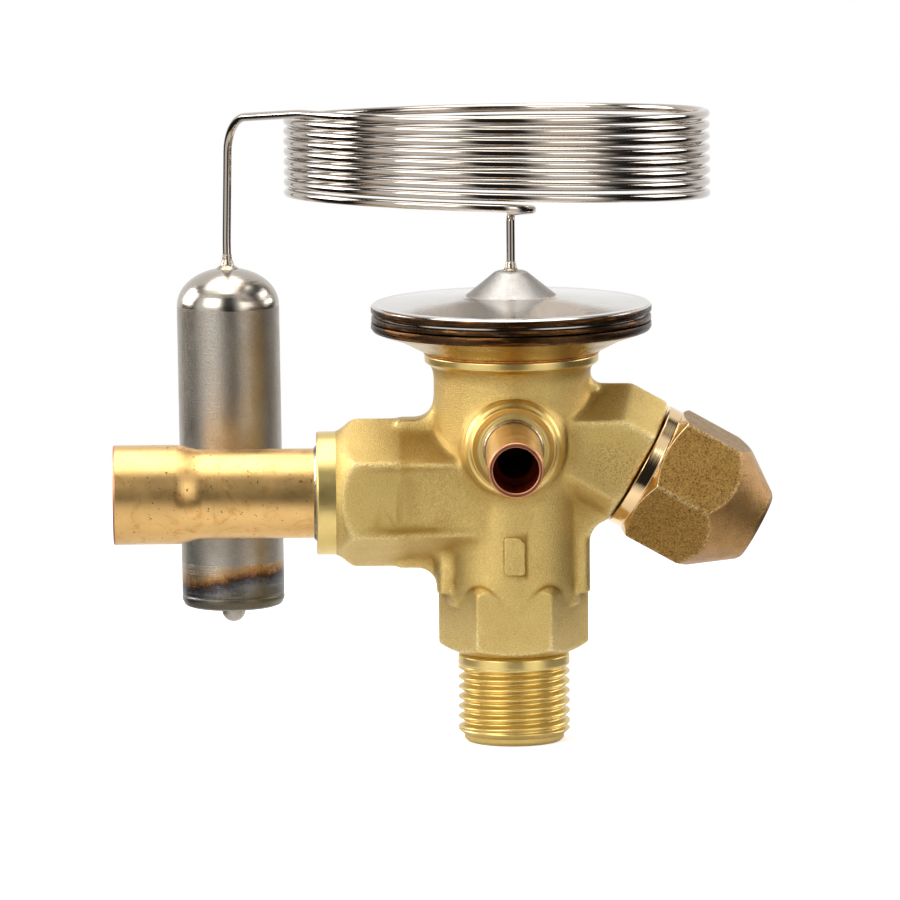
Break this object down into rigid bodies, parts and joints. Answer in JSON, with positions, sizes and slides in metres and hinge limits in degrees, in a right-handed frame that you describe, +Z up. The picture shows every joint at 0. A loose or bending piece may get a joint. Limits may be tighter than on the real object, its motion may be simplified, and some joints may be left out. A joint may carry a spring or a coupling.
{
  "type": "expansion valve",
  "caption": "Angle expansion valve with a diaphragm element, coiled capillary and sensing bulb, flare inlet, solder outlet and external equalizer tube.",
  "frame": {"origin": "centre of the flared inlet's end face, on the main axis", "axes": "+Z up the main axis from the inlet to the diaphragm element, outlet tube along -X, adjusting boss towards +X, equalizer tube along -Y"},
  "size_m": [0.0934, 0.079, 0.0907],
  "materials": {
    "brass_forging": "sand-blasted hot forging, matt and fine-grained, machined bright on threads and faces",
    "copper_tube": "drawn copper tube, warm and slightly tarnished",
    "braze": "flowed braze metal, glossy",
    "element_brass": "pressed and turned, smooth satin",
    "rim_steel": "stainless steel edge, dark with heat tint",
    "diaphragm_steel": "thin rolled stainless steel",
    "cover_steel": "polished stainless steel with faint scratches",
    "capillary_steel": "drawn stainless steel capillary, bright",
    "bulb_steel": "brushed stainless steel, heat tinted beside the weld",
    "inner_brass": "turned",
    "inner_steel": "turned stainless steel",
    "spring_steel": "drawn spring wire",
    "seal_rubber": "moulded rubber",
    "cap_brass": "blasted forging, browner than the body, with a bright turned collar",
    "gasket_copper": "soft copper, flat",
    "gauze_steel": "woven wire gauze"
  },
  "bodies": {
    "valve": {"valve_body": "brass_forging", "outlet_tube": "copper_tube", "outlet_braze": "braze", "equalizer_tube": "copper_tube", "equalizer_braze": "braze", "element_base": "element_brass", "element_braze": "braze", "diaphragm_ring": "rim_steel", "diaphragm": "diaphragm_steel", "element_cover": "cover_steel", "capillary_collar": "cover_steel", "capillary_tube": "capillary_steel", "bulb_shell": "bulb_steel", "bulb_end_cap": "bulb_steel", "charge_tip": "bulb_steel", "bulb_collar": "bulb_steel", "guide_bush": "inner_brass", "rod_seal": "seal_rubber", "spindle_gland": "inner_brass", "spindle_seal": "seal_rubber", "superheat_spring": "spring_steel"},
    "cap_ring": {"cap_gasket": "gasket_copper"},
    "cap": {"seal_cap": "cap_brass"},
    "button": {"thrust_button": "inner_steel"},
    "spindle": {"adjusting_spindle": "inner_steel"},
    "seat": {"spring_seat": "inner_brass"},
    "rod": {"pressure_pad": "inner_brass", "push_rod": "inner_steel"},
    "cartridge": {"orifice_housing": "inner_brass", "orifice_gasket": "gasket_copper", "spring_retainer": "inner_brass", "strainer": "gauze_steel", "cone_spring": "spring_steel"},
    "cone": {"valve_cone": "inner_steel"}
  },
  "joints": [
    {"name": "cap_lift", "type": "slide", "parent": "valve", "child": "cap_ring", "axis": [0.8712, 0, -0.4909], "range_m": [0, 0.00601]},
    {"name": "cap_turn", "type": "hinge", "parent": "cap_ring", "child": "cap", "pos_m": [0.0178, 0, 0.0395], "axis": [0.8712, 0, -0.4909], "range_deg": [0, 1440]},
    {"name": "button_slide", "type": "slide", "parent": "valve", "child": "button", "axis": [-0.8712, 0, 0.4909], "range_m": [-0.0024, 0.0024]},
    {"name": "spindle_turn", "type": "hinge", "parent": "button", "child": "spindle", "pos_m": [0.0178, 0, 0.0395], "axis": [-0.8712, 0, 0.4909], "range_deg": [-1085, 1085]},
    {"name": "seat_lift", "type": "slide", "parent": "valve", "child": "seat", "axis": [0, 0, 1], "range_m": [-0.00118, 0.00118], "deforming": ["superheat_spring"]},
    {"name": "rod_stroke", "type": "slide", "parent": "valve", "child": "rod", "axis": [0, 0, -1], "range_m": [0, 0.0008], "stiffness_N_per_m": 2000, "springref_m": -0.0005, "deforming": ["superheat_spring"]},
    {"name": "cartridge_withdraw", "type": "slide", "parent": "valve", "child": "cartridge", "axis": [0, 0, -1], "range_m": [0, 0.032]},
    {"name": "cone_follow", "type": "slide", "parent": "cartridge", "child": "cone", "axis": [0, 0, -1], "range_m": [0, 0.00081], "deforming": ["cone_spring"]}
  ],
  "couplings": [
    {"joint": "cap_lift", "follows": "cap_turn", "m_per_rad": 0.00023873},
    {"joint": "spindle_turn", "follows": "button_slide", "rad_per_m": 7854},
    {"joint": "seat_lift", "follows": "button_slide", "ratio": 0.4909},
    {"joint": "cone_follow", "follows": "rod_stroke", "ratio": 1}
  ]
}
